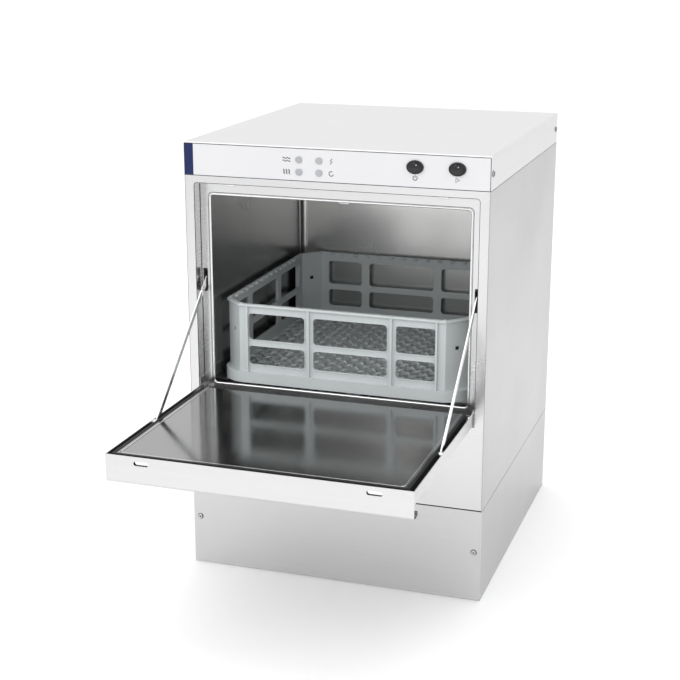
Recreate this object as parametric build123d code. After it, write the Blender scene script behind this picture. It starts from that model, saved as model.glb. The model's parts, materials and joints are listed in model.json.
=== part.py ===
"""Front-loading commercial glasswasher for 400 x 400 mm baskets, one STEP file for each sub-part.

Millimetres. +Z is up, the door faces -Y and +X is to the right seen from the front.
The origin is the centre of the underside. The door is modelled open and the basket pushed in.
"""
import math
import os

from build123d import *

# Outer body
width = 470.0
depth = 510.0
height = 680.0
base_height = 146.0
lid_height = 50.0
pan_floor = 1.5
pan_height = 20.0
sheet = 1.2
seam = 0.7
half = width / 2
front = -depth / 2
back = depth / 2
lid_bottom = height - lid_height

# Front frame: outer flange, rebate that takes the closed door, inner flange and opening
rebate_half = 220.0
rebate_top = lid_bottom - 11.0
rebate_depth = 22.0
rebate_corner = 5.0
seal_y = front + rebate_depth
opening_half = 205.0
opening_bottom = 300.6
opening_top = 600.0
opening_corner = 6.0
panel_gap = 1.6

# Door and its hinge, the door lying open towards -Y
hinge_y = front + 8.0
hinge_z = 287.0
door_half = 218.0
door_length = 330.0
door_under = -6.0
door_face = 13.0
grip_drop = -28.0
grip_width = 19.0
skin = 1.0
boss_radius = 4.8
catch_x = 165.0
catch_offset = 3.5
hinge_pin_radius = 4.0
bracket_boss = 6.5

# Stays: the pin on the door and the guide in the frame are equally far from the hinge
stay_pin_reach = 178.0
stay_pin_lift = 8.0
stay_x = 213.0
stay_thick = 2.0
stay_width = 8.0
stay_pin_radius = 3.0
stay_beyond_guide = 35.0
guide_slot = (210.2, 216.8)
guide_reach = 16.0

# Wash chamber
tub_half = 206.0
tub_wall = 1.0
tub_floor = 180.0
tub_ceiling = 620.0
tub_back = front + 436.0
tub_corner = 10.0
centre_y = -25.0
well_x, well_y, well_radius, well_depth = 95.0, 60.0, 50.0, 31.0

# Basket
basket_size = 400.0
basket_bottom = 301.5
basket_height = 126.0
basket_wall = 3.0
skirt_height = 17.0
skirt_corner = 42.0
body_size = 388.0
corner_cut = 29.0
bays = (92.0, 118.0, 62.0)
window_rows = ((29.0, 59.0), (69.0, 111.0))
post = 14.0
rib_pitch = 20.0
notch_pitch = 22.0

# Spray arms
arm_reach = 178.0
journal_radius = 8.0
running_gap = 0.06
spindle_hole = 10.0

# Controls
button_places = ((124.0, 659.5), (186.0, 659.5))
button_half = (9.9, 7.2)
bezel_half = (12.7, 9.9)
button_stand = 5.5
button_dome = 24.0
lamp_places = ((-52.0, 661.0), (-21.0, 661.0), (-52.0, 643.0), (-21.0, 643.0))
lamp_radius = 5.0
strip_edge = -220.0

# Screws, and the connections at the back
screw_head_radius, screw_head_height, screw_hole = 4.0, 2.0, 1.9
front_screw_level = 79.0
rear_screw_levels = (170.0, 388.0, 606.0)
inlet_x, inlet_z, inlet_radius = -150.0, 92.0, 13.2
drain_x, drain_z, drain_radius = -90.0, 45.0, 14.0
stub_length = 20.0
gland_x, gland_z, gland_radius = 160.0, 92.0, 7.9

os.makedirs("parts", exist_ok=True)


def save(name, *shapes):
    """Write every solid of the shapes as one node."""
    solids = [solid for shape in shapes for solid in shape.solids()]
    export_step(Compound(label=name, children=solids), f"parts/{name}.step")


def block(x0, x1, y0, y1, z0, z1):
    """Box between two corners."""
    return Pos((x0 + x1) / 2, (y0 + y1) / 2, (z0 + z1) / 2) * Box(x1 - x0, y1 - y0, z1 - z0)


def rod_x(radius, x0, x1, y, z):
    return Pos((x0 + x1) / 2, y, z) * Rot(0, 90, 0) * Cylinder(radius, x1 - x0)


def rod_y(radius, x, y0, y1, z):
    return Pos(x, (y0 + y1) / 2, z) * Rot(90, 0, 0) * Cylinder(radius, y1 - y0)


def rod_z(radius, x, y, z0, z1):
    return Pos(x, y, (z0 + z1) / 2) * Cylinder(radius, z1 - z0)


def oval_y(half_size, x, y0, y1, z):
    """Oval bar along Y; half_size is its half width and half height."""
    section = extrude(Ellipse(*half_size), (y1 - y0) / 2, both=True)
    return Pos(x, (y0 + y1) / 2, z) * Rot(90, 0, 0) * section


def both_sides(shape):
    """A right-hand shape and its mirror image."""
    return [shape, mirror(shape, about=Plane.YZ)]


def pipe(points, radius):
    """Straight runs joined by balls."""
    run = Pos(*points[0]) * Sphere(radius)
    for start, end in zip(points, points[1:]):
        span = Vector(*end) - Vector(*start)
        run += Plane(origin=start, z_dir=span) * Pos(0, 0, span.length / 2) * Cylinder(radius, span.length)
        run += Pos(*end) * Sphere(radius)
    return run


def screw_head(x, y, z, turn):
    """Pan-head screw whose head faces +Z before it is turned."""
    base = (Align.CENTER, Align.CENTER, Align.MIN)
    head = Cylinder(screw_head_radius, screw_head_height, align=base)
    head = fillet(head.edges().group_by(Axis.Z)[-1], 1.2)
    shank = Pos(0, 0, -8) * Cylinder(screw_hole, 8.0, align=base)
    recess = Pos(0, 0, 1.6) * (Box(4.6, 1.1, 1.6) + Box(1.1, 4.6, 1.6))
    return Pos(x, y, z) * turn * (head + shank - recess)


face_front = Rot(90, 0, 0)
face_back = Rot(-90, 0, 0)
face_right = Rot(0, 90, 0)
face_left = Rot(0, -90, 0)


# ---- Base -------------------------------------------------------------------------------

def make_base():
    inner = half - sheet - 0.3
    tray = block(-inner, inner, front + 1.5, back - sheet - 0.3, 0, pan_height)
    tray -= block(sheet - inner, inner - sheet, front + 1.5 + sheet, back - 2 * sheet - 0.3,
                  pan_floor, pan_height + 1)
    save("base_pan", tray)

    top = base_height - seam / 2
    shell = block(-half, half, front + sheet + 0.2, back, 0, top)
    shell = fillet(shell.edges().filter_by(Axis.Z).group_by(Axis.Y)[-1], 2.0)
    shell -= block(-half + sheet, half - sheet, front - 1, back - sheet, -1, top - sheet)
    shell -= block(-half + 14, half - 14, front - 1, back - 14, top - 2, top + 1)
    shell -= rod_y(inlet_radius + 2, inlet_x, back - 3, back + 3, inlet_z)
    shell -= rod_y(drain_radius + 2, drain_x, back - 3, back + 3, drain_z)
    shell -= rod_y(gland_radius + 0.1, gland_x, back - 3, back + 3, gland_z)
    save("base_shell", shell)

    panel = block(-half, half, front, front + sheet, 4.0, top)
    panel = fillet(panel.edges().filter_by(Axis.Z).group_by(Axis.Y)[0], 0.9)
    places = [(side * (half - 11), front_screw_level) for side in (-1, 1)]
    for x, z in places:
        panel -= rod_y(screw_hole, x, front - 1, front + sheet + 1, z)
    save("base_front_panel", panel)
    return [screw_head(x, front, z, face_front) for x, z in places]


# ---- Cabinet shells ---------------------------------------------------------------------

def make_side_panels():
    bottom = base_height + seam / 2
    top = lid_bottom - seam / 2
    panel = block(half - sheet, half, front, back - sheet - 0.2, bottom, top)
    panel = fillet(panel.edges().filter_by(Axis.Z).group_by(Axis.X)[-1].sort_by(Axis.Y)[0], 1.0)
    panel += block(half - 14, half - sheet, back - 2 * sheet - 0.2, back - sheet - 0.2, bottom, top)
    for z in rear_screw_levels:
        panel -= rod_y(screw_hole, half - 9, back - 5, back, z)
    right, left = both_sides(panel)
    save("side_panel_right", right)
    save("side_panel_left", left)


def make_rear_panel():
    bottom = base_height + seam / 2
    top = lid_bottom - seam / 2
    panel = block(-half, half, back - sheet, back, bottom, top)
    panel = fillet(panel.edges().filter_by(Axis.Z).group_by(Axis.Y)[-1], 1.0)
    louvre_rows, louvre_pitch, louvre_low = 6, 12, 520
    for row in range(louvre_rows):
        louvre = Rot(90, 0, 0) * extrude(SlotOverall(120, 5), 6, both=True)
        panel -= Pos(0, back, louvre_low + louvre_pitch * row) * louvre
    places = [(side * (half - 9), z) for side in (-1, 1) for z in rear_screw_levels]
    for x, z in places:
        panel -= rod_y(screw_hole, x, back - 3, back + 1, z)
    save("rear_panel", panel)
    return [screw_head(x, back, z, face_back) for x, z in places]


def make_top_cover():
    cover = block(-half, half, front, back, lid_bottom + seam / 2, height)
    outer = cover.edges().group_by(Axis.Z)[-1] + cover.edges().filter_by(Axis.Z).group_by(Axis.Y)[-1]
    cover = fillet(outer, 1.2)
    cover -= block(-half + sheet, half - sheet, front + sheet, back - sheet, 0, height - sheet)
    cover -= block(-half + sheet, half - sheet, front - 1, front + 2, 0, height - sheet - seam)
    screws = []
    level = lid_bottom + 24
    for y in (front + 11, back - 14):
        cover -= rod_x(screw_hole, -half - 1, half + 1, y, level)
        screws += [screw_head(half, y, level, face_right)]
        screws += [screw_head(-half, y, level, face_left)]
    save("top_cover", cover)
    return screws


# ---- Control panel ----------------------------------------------------------------------

def make_controls():
    """Fascia with its printed film, lamps, oval buttons in bezels, switches and circuit board."""
    bottom = lid_bottom + seam / 2
    top = height - sheet - 2 * seam
    edge = half - sheet - 0.3
    film, fascia_thick, fold = 0.4, 1.0, 16.0
    face = front + film
    panel = block(-edge, edge, face, face + fascia_thick, bottom, top)
    panel += block(-edge, edge, face, front + fold, bottom, bottom + fascia_thick)
    panel += block(-edge, edge, face, front + fold, top - fascia_thick, top)
    overlay = block(strip_edge + 0.2, edge, front, face, bottom + 0.4, top)
    bezel_neck = [size - 0.2 for size in bezel_half]
    holes = [oval_y(bezel_neck, x, front - 2, front + 5, z) for x, z in button_places]
    holes += [rod_y(lamp_radius, x, front - 2, front + 5, z) for x, z in lamp_places]
    for hole in holes:
        panel -= hole
        overlay -= hole
    save("control_fascia", panel)
    save("fascia_overlay", overlay)
    save("fascia_strip", block(-edge, strip_edge, front, face, bottom + 0.4, top))

    lamps = []
    for x, z in lamp_places:
        lamp = rod_y(lamp_radius, x, front - 1.2, front + 6, z)
        lamps.append(fillet(lamp.edges().group_by(Axis.Y)[0], 1.0))
    save("indicator_lamps", *lamps)

    bezel_back, cap_back = front + 10.5, front + 6.5
    board_front = bezel_back + 0.5
    board_back = board_front + 1.6
    bore = [size + 0.3 for size in button_half]
    bezels, switches, caps = [], [], []
    for x, z in button_places:
        bezel = oval_y(bezel_half, x, front - 3, front, z)
        bezel = fillet(bezel.edges().group_by(Axis.Y)[0], 1.2)
        bezel += oval_y(bezel_neck, x, front, bezel_back, z)
        bezels.append(bezel - oval_y(bore, x, front - 5, bezel_back + 1, z))
        switches.append(block(x - 14, x + 14, bezel_back, bezel_back + 23, z - 12, z + 12))
        dome = Pos(x, front - button_stand + button_dome, z) * Sphere(button_dome)
        caps.append(dome & oval_y(button_half, x, front - button_stand, cap_back, z))
    save("button_bezels", *bezels)
    save("switch_blocks", *switches)
    save("on_off_button", caps[0])
    save("start_button", caps[1])

    board = block(-90, 90, board_front, board_back, lid_bottom + 4, height - 6)
    board += block(-80, -45, board_back, board_back + 23, lid_bottom + 8, lid_bottom + 34)
    relays, relay_pitch, relay_width = 4, 22, 16
    for k in range(relays):
        x = -20 + relay_pitch * k
        board += block(x, x + relay_width, board_back, board_back + 15, lid_bottom + 10, lid_bottom + 28)
    save("control_board", board)


# ---- Front frame and chamber ------------------------------------------------------------

def stay_points():
    """Pin on the open door and guide point in the frame, as (y, z)."""
    reach = math.hypot(stay_pin_reach, stay_pin_lift)
    guide_rise = math.sqrt(reach**2 - (seal_y - hinge_y) ** 2)
    return (hinge_y - stay_pin_reach, hinge_z + stay_pin_lift), (seal_y, hinge_z + guide_rise)


def upright_hole(half_width, bottom, top, corner, y0, y1):
    """Cutter through an upright face, with rounded corners."""
    face = RectangleRounded(2 * half_width, top - bottom, corner)
    bar = extrude(Rot(90, 0, 0) * face, (y1 - y0) / 2, both=True)
    return Pos(0, (y0 + y1) / 2, (bottom + top) / 2) * bar


def make_front_frame():
    """Front sheet with the lower panel, the rebate behind it and the sealing flange around the doorway."""
    edge = half - sheet - 0.3
    bottom = base_height + panel_gap
    top = lid_bottom - seam / 2
    wall = rebate_half + sheet
    sill = hinge_z - 9.0
    sill_depth = 15.0
    flange_bottom = hinge_z - 22.0
    rebate = upright_hole(rebate_half, sill, rebate_top, rebate_corner, front - 1, seal_y + 1)
    rebate += block(-rebate_half, rebate_half, front - 1, seal_y + 1, sill, sill + 2 * rebate_corner)
    tunnel = block(-wall, wall, front, seal_y, sill - sheet, rebate_top + sheet)
    tunnel -= block(-wall, wall, front + sill_depth, seal_y + 1, sill - sheet - 1, sill)
    flange = block(-wall, wall, seal_y, seal_y + sheet, flange_bottom, rebate_top + sheet)
    flange -= upright_hole(opening_half, opening_bottom, opening_top, opening_corner, seal_y - 1, seal_y + 3)
    frame = block(-edge, edge, front, front + sheet, bottom, top) + tunnel - rebate + flange
    guide_z = stay_points()[1][1]
    for side in (-1, 1):
        low, high = sorted((side * guide_slot[0], side * guide_slot[1]))
        frame -= block(low, high, seal_y - 1, seal_y + 3, guide_z - guide_reach, guide_z + guide_reach)
        catch_slot = extrude(SlotOverall(15, 4.4), 4, both=True)
        frame -= Pos(side * catch_x, hinge_y + catch_offset, rebate_top) * catch_slot
        low, high = sorted((side * (rebate_half - 1), side * (wall + 1)))
        frame -= rod_x(bracket_boss, low, high, hinge_y, hinge_z)
    save("front_frame", frame)


def make_tub():
    """Chamber sheets: sides, back and rounded corners; floor and ceiling, each folded at the front."""
    fore = seal_y + sheet
    outer_half = tub_half + tub_wall
    outer_back = tub_back + tub_wall
    bend = tub_back - tub_corner
    side = block(tub_half, outer_half, fore, bend, tub_floor, tub_ceiling)
    centre = (tub_half - tub_corner, bend)
    ring = rod_z(tub_corner + tub_wall, *centre, tub_floor, tub_ceiling)
    ring -= rod_z(tub_corner, *centre, tub_floor - 1, tub_ceiling + 1)
    corner = ring & block(centre[0], outer_half, bend, outer_back, tub_floor, tub_ceiling)
    rear = block(-centre[0], centre[0], tub_back, outer_back, tub_floor, tub_ceiling)
    save("wash_tub", rear, *both_sides(side), *both_sides(corner))

    well_floor = tub_floor - well_depth
    floor = block(-outer_half, outer_half, fore, outer_back, tub_floor - tub_wall, tub_floor)
    floor += block(-tub_half, tub_half, fore, fore + tub_wall, tub_floor, opening_bottom)
    floor += rod_z(well_radius + tub_wall, well_x, well_y, well_floor - tub_wall, tub_floor)
    floor -= rod_z(well_radius, well_x, well_y, well_floor, tub_floor + 0.5)
    floor -= rod_z(spindle_hole, 0, centre_y, tub_floor - 3, tub_floor + 3)
    floor -= rod_z(12.0, well_x, well_y, well_floor - 3, well_floor + 3)
    save("tub_floor", floor)

    ceiling = block(-outer_half, outer_half, fore, outer_back, tub_ceiling, tub_ceiling + tub_wall)
    ceiling += block(-tub_half, tub_half, fore, fore + tub_wall, opening_top, tub_ceiling)
    ceiling -= rod_z(spindle_hole, 0, centre_y, tub_ceiling - 3, tub_ceiling + 3)
    save("tub_ceiling", ceiling)

    leg, shelf, drop = 1.5, 18.0, 20.0
    rail_front, rail_back = seal_y + 18, 160.0
    rail_top = basket_bottom - 0.3
    rail = block(tub_half - shelf, tub_half, rail_front, rail_back, rail_top - leg, rail_top)
    rail += block(tub_half - leg, tub_half, rail_front, rail_back, rail_top - drop, rail_top)
    save("rack_rails", *both_sides(rail))


def make_sump():
    """Strainer plate with its cup in the well, and the overflow pipe standing in it."""
    plate_radius, cup_radius, cup_wall, cup_depth = well_radius + 14, 30.0, 1.2, 24.0
    lip_top = tub_floor + 4
    bore = cup_radius - cup_wall
    plate = rod_z(plate_radius, well_x, well_y, tub_floor, lip_top)
    plate -= rod_z(plate_radius - 2, well_x, well_y, tub_floor + 1.5, lip_top + 1)
    cup = rod_z(cup_radius, well_x, well_y, tub_floor - cup_depth, tub_floor + 1)
    cup -= rod_z(bore, well_x, well_y, tub_floor - cup_depth + cup_wall, tub_floor + 2)
    strainer = plate - rod_z(bore, well_x, well_y, tub_floor - 1, lip_top + 1) + cup
    with PolarLocations(46, 18) as ring:
        for place in ring.locations:
            strainer -= Pos(well_x, well_y, tub_floor) * place * Cylinder(4, 8)
    strainer -= rod_z(11.0, well_x, well_y, tub_floor - cup_depth - 1, tub_floor - 20)
    save("sump_strainer", strainer)

    pipe_bottom, pipe_top, pipe_radius, pipe_wall = tub_floor - well_depth, tub_floor + 70, 10.8, 2.0
    standpipe = rod_z(pipe_radius, well_x, well_y, pipe_bottom, pipe_top)
    standpipe += rod_z(pipe_radius + 5, well_x, well_y, pipe_top - 4, pipe_top)
    standpipe -= rod_z(pipe_radius - pipe_wall, well_x, well_y, pipe_bottom - 1, pipe_top + 1)
    save("overflow_pipe", standpipe)


def make_tank_heater():
    """Two turns of heating element around the chamber floor, from a block on the back wall."""
    turns = [pipe([(-60, 176, z), (-60, 120, z), (-170, 120, z), (-170, -150, z),
                   (-140, -150, z), (-140, 90, z), (-90, 90, z)], 4.0)
             for z in (tub_floor + 16, tub_floor + 30)]
    terminals = block(-100, -60, tub_back - 6, tub_back, tub_floor + 8, tub_floor + 38)
    save("tank_heater", turns[0] + turns[1] + terminals)


# ---- Spray arms -------------------------------------------------------------------------

def arm_set(up):
    """One pair of arms, spindle and retaining nut; heights run from the mounting face, up or down."""
    face = tub_floor if up else tub_ceiling
    shoulder = 78.5 if up else 12.6
    sign = 1 if up else -1

    def level(low, high):
        return sorted((face + sign * low, face + sign * high))

    def disc(radius, low, high):
        return rod_z(radius, 0, centre_y, *level(low, high))

    spindle = disc(26, 0, 4) + disc(13, 4, shoulder) + disc(journal_radius, shoulder, shoulder + 34.2)
    spindle -= disc(5, -1, shoulder + 30)
    nut = disc(11, shoulder + 34.2, shoulder + 38.5)
    bore = disc(journal_radius + running_gap, shoulder - 5, shoulder + 60)

    low, high = level(shoulder + 3.5, shoulder + 17.5)
    wash = disc(21, shoulder + 0.3, shoulder + 21)
    outline = Polygon((-9, -arm_reach), (9, -arm_reach), (16, 0), (9, arm_reach), (-9, arm_reach), (-16, 0))
    blade = Pos(0, centre_y, low) * extrude(outline, high - low)
    blade = fillet(blade.edges().filter_by(Axis.Z), 5.0)
    wash = wash + blade
    for k in range(4):
        for side in (-1, 1):
            y = centre_y + side * (52 + 34 * k)
            wash += rod_z(4.2, 3 * side, y, *level(shoulder + 17, shoulder + 19.5))
    wash -= bore

    rinse_z = sum(level(shoulder + 21.5, shoulder + 33.5)) / 2
    rinse = disc(13, shoulder + 21.5, shoulder + 33.5)
    rinse += rod_x(5.0, 6 - arm_reach, arm_reach - 6, centre_y, rinse_z)
    for k in range(4):
        for side in (-1, 1):
            x = side * (46 + 36 * k)
            rinse += rod_z(2.6, x, centre_y, *level(shoulder + 30, shoulder + 33.2))
    rinse -= bore
    return spindle, nut, wash, rinse


def make_arms():
    lower = arm_set(True)
    upper = arm_set(False)
    save("lower_spindle", lower[0])
    save("upper_spindle", upper[0])
    save("arm_retaining_nuts", lower[1], upper[1])
    save("lower_wash_arm", lower[2])
    save("upper_wash_arm", upper[2])
    save("lower_rinse_arm", lower[3])
    save("upper_rinse_arm", upper[3])


# ---- Machinery under and behind the chamber ---------------------------------------------

def make_pump():
    """Wash pump with its motor on one side, and the pipes it feeds."""
    pump_y, pump_z = 20.0, 66.0
    pump_left, pump_right = 70.0, 112.0
    housing_radius, motor_radius, fin_radius = 46.0, 42.0, 44.5
    foot_height = 24.0
    hose_low = pump_z + 44
    housing = rod_x(housing_radius, pump_left, pump_right, pump_y, pump_z)
    housing += block(pump_left, pump_right, pump_y, pump_y + 46, pump_z + 10, hose_low)
    housing += block(pump_left - 4, pump_right + 4, pump_y - 40, pump_y + 40, pan_floor, foot_height)
    save("wash_pump", housing)

    motor = rod_x(motor_radius, -60, pump_left, pump_y, pump_z)
    motor += block(-45, 45, pump_y - 45, pump_y + 45, pan_floor, foot_height + 2)
    for k in range(6):
        motor += rod_x(fin_radius, -50 + 20 * k, -44 + 20 * k, pump_y, pump_z)
    save("pump_motor", motor)

    well_underside = tub_floor - well_depth - tub_wall
    suction = rod_z(15, well_x, well_y, hose_low, well_underside)
    feed = rod_z(12, 0, centre_y, pump_z + 47, tub_floor - tub_wall)
    save("wash_hoses", suction, feed)

    riser_x, riser_y, over_z, riser_radius = 130.0, 215.0, 648.0, 12.0
    riser = pipe([(pump_right, pump_y, pump_z), (riser_x, pump_y, pump_z), (riser_x, riser_y, pump_z),
                  (riser_x, riser_y, over_z), (0, riser_y, over_z), (0, centre_y, over_z),
                  (0, centre_y, tub_ceiling)], riser_radius)
    beside_pump = block(pump_right + 1, half, front, back, 0, height)
    above_tub = block(-50, half, front, back, tub_ceiling + tub_wall, height)
    save("wash_riser", riser & (beside_pump + above_tub))


def make_boiler():
    """Rinse boiler, open at the heater's end, and the rinse pipe to the upper arm."""
    boiler_y, boiler_z, boiler_radius = 168.0, 74.0, 56.0
    left, right, rounding, wall = -125.0, 105.0, 14.0, 1.5
    boiler = rod_x(boiler_radius, left, right, boiler_y, boiler_z)
    boiler = fillet(boiler.edges().group_by(Axis.X)[0] + boiler.edges().group_by(Axis.X)[-1], rounding)
    boiler -= rod_x(boiler_radius - rounding, left + wall, right - wall, boiler_y, boiler_z)
    boiler -= rod_x(boiler_radius - wall, left + rounding, right - rounding, boiler_y, boiler_z)
    boiler -= rod_x(20, left - 1, left + 5, boiler_y, boiler_z)
    for x in (-90, 70):
        boiler += block(x - 10, x + 10, boiler_y - 40, boiler_y + 40, pan_floor, 19)
    save("rinse_boiler", boiler)
    heater = rod_x(28, left - 10, left, boiler_y, boiler_z)
    heater += rod_x(22, left - 28, left - 10, boiler_y, boiler_z)
    save("boiler_heater", heater)

    pipe_radius = 5.0
    rinse_x, rinse_y, under_z, over_z, drop_x = -100.0, 232.0, 152.0, 664.0, -20.0
    rinse = pipe([(rinse_x, boiler_y, boiler_z), (rinse_x, boiler_y, under_z), (rinse_x, rinse_y, under_z),
                  (rinse_x, rinse_y, over_z), (drop_x, rinse_y, over_z), (drop_x, centre_y, over_z),
                  (drop_x, centre_y, tub_ceiling)], pipe_radius)
    rinse -= rod_x(boiler_radius, left, right, boiler_y, boiler_z)
    rinse -= rod_z(2 * pipe_radius, drop_x, centre_y, tub_ceiling - 20, tub_ceiling + tub_wall)
    save("rinse_pipe", rinse & block(-half, half, front, back, boiler_z, height))


def make_connections():
    """Inlet valve, drain spigot and cable gland in the back of the base."""
    inside = back - sheet
    end = back + stub_length
    valve = block(inlet_x - 16, inlet_x + 16, back - 44, back - 8, inlet_z - 16, inlet_z + 16)
    valve += rod_y(17, inlet_x, back - 8, inside, inlet_z)
    valve += rod_y(inlet_radius + 1.5, inlet_x, inside, back, inlet_z)
    valve += rod_y(inlet_radius, inlet_x, back, end, inlet_z)
    valve -= rod_y(8.5, inlet_x, back - 6, end + 1, inlet_z)
    save("inlet_valve", valve)

    outlet = rod_y(18, drain_x, back - 9, inside, drain_z)
    outlet += rod_y(drain_radius + 1.5, drain_x, inside, back, drain_z)
    outlet += rod_y(drain_radius, drain_x, back, end, drain_z)
    outlet -= rod_y(11, drain_x, back - 5, end + 1, drain_z)
    save("drain_outlet", outlet)

    gland = rod_y(gland_radius, gland_x, back - 12, back + 1, gland_z)
    gland += rod_y(11, gland_x, back, back + 4, gland_z)
    gland += rod_y(9, gland_x, back + 4, back + 14, gland_z)
    gland += rod_y(12, gland_x, inside - 6, inside, gland_z)
    save("cable_gland", gland - rod_y(4.5, gland_x, back - 15, back + 16, gland_z))


def make_base_fittings():
    """Rinse-aid doser, pressure switch and terminal box on the base pan."""
    doser = rod_x(24, -205, -175, -40, 60) + block(-215, -175, -65, -15, pan_floor, 50)
    save("rinse_aid_doser", doser)
    switch = rod_z(22, -185, 60, 60, 84) + block(-200, -170, 45, 75, pan_floor, 60)
    save("pressure_switch", switch)
    save("terminal_box", block(120, 215, -200, -150, pan_floor, 70))


# ---- Door -------------------------------------------------------------------------------

def door_block(x0, x1, a0, a1, b0, b1):
    """Box on the open door: a runs from the hinge to the free end, b up from the hinge."""
    return block(x0, x1, hinge_y - a1, hinge_y - a0, hinge_z + b0, hinge_z + b1)


def make_door():
    make_door_skin()
    make_door_lining()
    pin = rod_x(boss_radius, door_half - 9, door_half - skin, hinge_y, hinge_z)
    pin += rod_x(hinge_pin_radius, door_half - skin, rebate_half + 7.5, hinge_y, hinge_z)
    save("door_hinge_pins", *both_sides(pin))

    (pin_y, pin_z), _ = stay_points()
    inner_face = stay_x - stay_thick / 2 - 0.3
    outer_face = stay_x + stay_thick / 2 + 0.3
    stay_pin = rod_x(stay_pin_radius, inner_face, door_half - skin, pin_y, pin_z)
    stay_pin += rod_x(stay_pin_radius + 1.4, inner_face - 0.8, inner_face, pin_y, pin_z)
    stay_pin += rod_x(stay_pin_radius + 1.6, outer_face, door_half - skin, pin_y, pin_z)
    save("stay_pins", *both_sides(stay_pin))


def make_door_skin():
    """Outer tray, folded over into a grip at the free end, with hinge ears and two catch slots."""
    end = door_length
    grip_back = end - grip_width
    outer = door_block(-door_half, door_half, 0, end, door_under, door_face)
    inner = door_half - skin
    tray = outer - door_block(-inner, inner, skin, end - skin, door_under + skin, door_face + 1)
    tray -= door_block(-inner, inner, -1, skin + 1, 6, door_face + 1)
    grip_radius, mouth_height = 6.0, 7.0
    grip = door_block(-door_half, door_half, grip_back, end, grip_drop, door_under + skin)
    grip = fillet(grip.edges().filter_by(Axis.X).group_by(Axis.Z)[0], grip_radius)
    over = door_half + 1
    hollow = door_block(-over, over, grip_back + skin, end - skin, grip_drop + skin, door_under + 3)
    hollow = fillet(hollow.edges().filter_by(Axis.X).group_by(Axis.Z)[0], grip_radius - skin)
    mouth = door_block(-over, over, grip_back - 1, grip_back + 3, grip_drop + mouth_height, door_under + 3)
    shell = tray + (grip - hollow - mouth)
    for ear in both_sides(rod_x(8, door_half - skin, door_half, hinge_y, hinge_z)):
        shell += ear
    for side in (-1, 1):
        low, high = sorted((side * (door_half - 2), side * (door_half + 1)))
        shell -= rod_x(hinge_pin_radius, low, high, hinge_y, hinge_z)
        low, high = sorted((side * (door_half - 10), side * (door_half - skin)))
        shell -= rod_x(boss_radius, low, high, hinge_y, hinge_z)
        slot = Rot(90, 0, 0) * extrude(SlotOverall(22, 6.4), 3, both=True)
        shell -= Pos(side * catch_x, hinge_y - end, hinge_z + catch_offset) * slot
    save("door_outer_skin", shell)


def make_door_lining():
    """Inner liner with a raised rim, and the gasket around it."""
    edge = opening_half + 0.5
    rear, fore = 14.0, door_length - 8.0
    rim_low, rim_width = door_face - 0.8, 4.0
    liner = door_block(-edge, edge, rear, fore, door_under + skin, rim_low)
    liner += door_block(-edge, edge, rear, fore, rim_low, door_face)
    middle = edge - rim_width
    liner -= door_block(-middle, middle, rear - 1, fore - rim_width, rim_low, door_face + 1)
    liner = fillet(liner.edges().filter_by(Axis.Z).group_by(Axis.Y)[0], 3.0)
    liner -= door_block(-edge + 1, edge - 1, rear + 1, fore - 1, door_under, rim_low - 1)
    save("door_inner_liner", liner)

    strip_out = door_half - skin
    strip_low, strip_top, bead_width = 0.5, 2.5, 4.4
    gap, rise = 0.4, 0.7
    base = door_block(-strip_out, strip_out, rear + 6, door_length - skin, strip_low, strip_top)
    base -= door_block(-edge, edge, 0, fore, 0, 3)
    for side in (-1, 1):
        low, high = sorted((side * (catch_x - 13), side * (catch_x + 13)))
        base -= door_block(low, high, fore + bead_width, door_length, 0, 3)
    bead_half = edge + gap + bead_width
    bead = door_block(-bead_half, bead_half, rear + 6, fore + bead_width, strip_top, door_face + rise)
    bead -= door_block(-edge - gap, edge + gap, 0, fore + 0.3, 2, door_face + 1)
    save("door_gasket", base + bead)


def make_stays():
    (pin_y, pin_z), (guide_y, guide_z) = stay_points()
    rise = math.atan2(guide_z - pin_z, guide_y - pin_y)
    length = math.hypot(guide_y - pin_y, guide_z - pin_z) + stay_beyond_guide
    outline = Pos(length / 2, 0) * Rectangle(length, stay_width)
    outline += Circle(5.0)
    outline += Pos(length, 0) * Circle(stay_width / 2)
    outline -= Circle(stay_pin_radius + running_gap)
    outline -= Pos(length - 2, 0) * Circle(2.0)
    along = Vector(0, math.cos(rise), math.sin(rise))
    plane = Plane(origin=(stay_x - stay_thick / 2, pin_y, pin_z), x_dir=along, z_dir=(1, 0, 0))
    stay = plane * extrude(outline, stay_thick)
    right, left = both_sides(stay)
    save("stay_right", right)
    save("stay_left", left)

    low, high = guide_slot
    reach = guide_reach
    guide = block(low, high, seal_y, seal_y + 8, guide_z - reach, guide_z + reach)
    guide += block(low + 0.7, high + 0.6, seal_y - 0.6, seal_y, guide_z - reach - 2, guide_z + reach + 2)
    reach += 3
    guide += block(low - 2.2, high + 2.2, seal_y + sheet, seal_y + 4, guide_z - reach, guide_z + reach)
    guide -= block(stay_x - 1.5, stay_x + 1.5, seal_y - 2, seal_y + 10, guide_z - 8, guide_z + 14)
    save("stay_guides", *both_sides(guide))


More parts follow.
